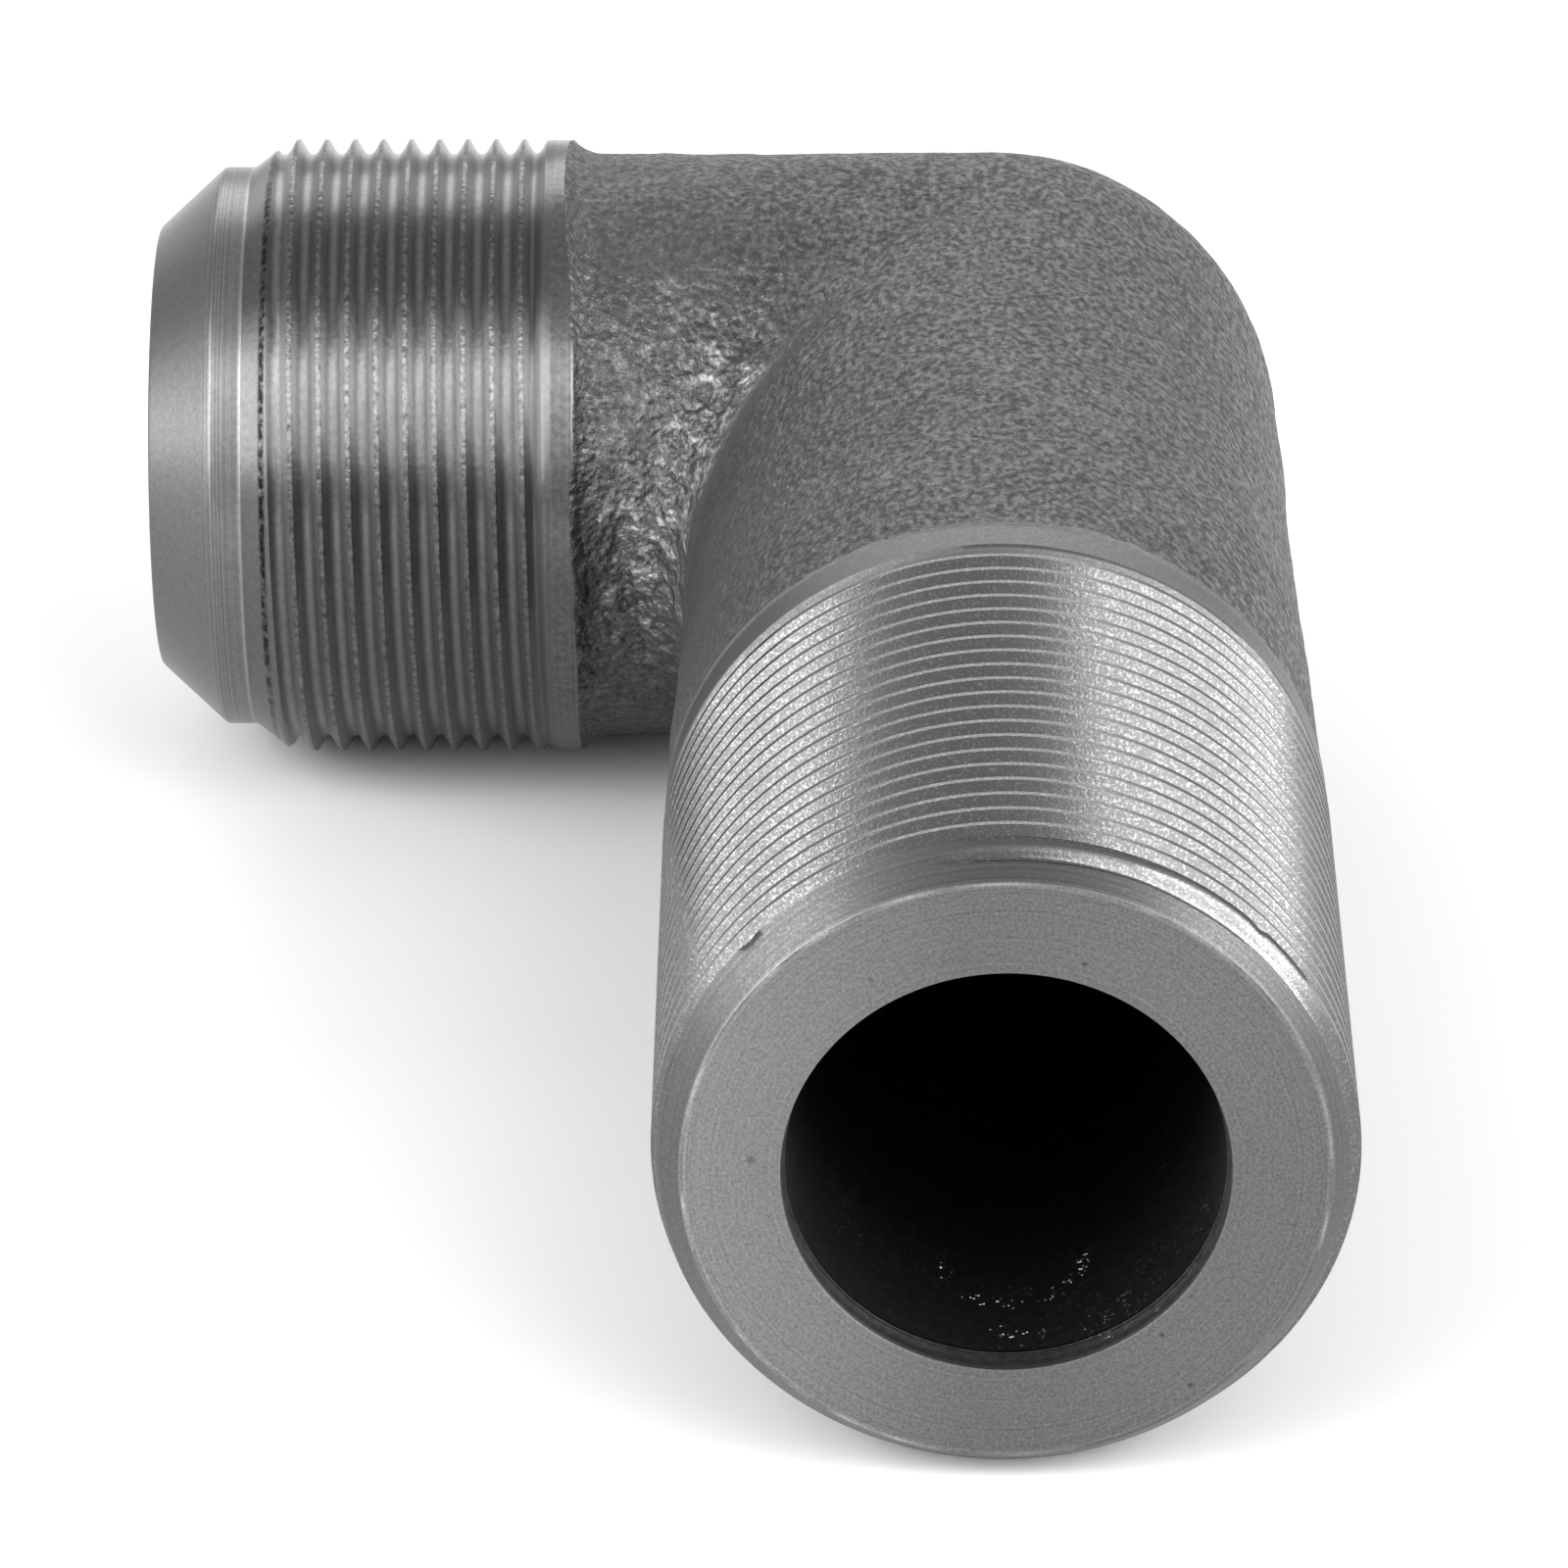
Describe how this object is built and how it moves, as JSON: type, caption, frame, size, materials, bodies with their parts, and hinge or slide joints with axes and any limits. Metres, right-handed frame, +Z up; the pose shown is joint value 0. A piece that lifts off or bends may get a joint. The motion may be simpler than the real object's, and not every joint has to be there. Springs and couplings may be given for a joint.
{
  "type": "threaded pipe elbow",
  "caption": "Right-angle forged steel pipe elbow with a male thread on each leg: a short leg ending in a cone nose and a long leg ending in a flat face.",
  "frame": {"origin": "on the floor under the middle of the footprint, with the elbow lying on its side", "axes": "-Y along the long leg to its flat end, -X along the short leg to its nose, +Z up, square to both legs"},
  "size_m": [0.0886, 0.1424, 0.048],
  "materials": {
    "forged_steel": "shot-blasted forging with turned threads, cone and end face"
  },
  "bodies": {
    "root": {"elbow_body": "forged_steel"}
  },
  "joints": []
}
